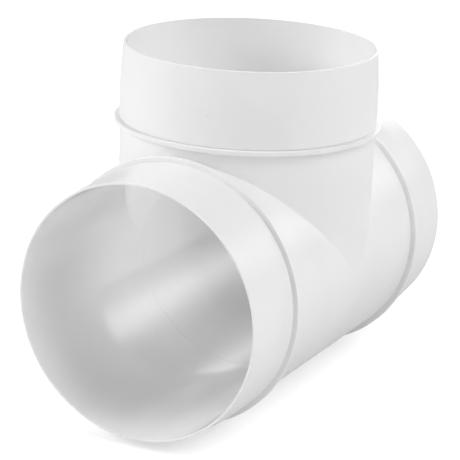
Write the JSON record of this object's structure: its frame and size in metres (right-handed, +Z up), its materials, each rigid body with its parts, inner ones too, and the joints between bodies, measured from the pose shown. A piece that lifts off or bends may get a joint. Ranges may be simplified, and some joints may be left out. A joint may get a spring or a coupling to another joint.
{
  "type": "round ventilation duct tee",
  "caption": "Equal T-piece for round ventilation duct in glossy white plastic: three push-in spigots with stop rings, run and branch mitred at a right angle.",
  "frame": {"origin": "on the surface that the two run stop rings stand on, straight below the crossing of the run and branch axes", "axes": "+X along the run towards its right end, +Z up along the branch, +Y across the run"},
  "size_m": [0.169, 0.1028, 0.1359],
  "materials": {
    "white_plastic": "smooth gloss, moulded"
  },
  "bodies": {
    "root": {"run_body_left": "white_plastic", "run_body_right": "white_plastic", "branch_body": "white_plastic", "spigot_left": "white_plastic", "spigot_right": "white_plastic", "spigot_branch": "white_plastic", "stop_ring_left": "white_plastic", "stop_ring_right": "white_plastic", "stop_ring_branch": "white_plastic"}
  },
  "joints": []
}
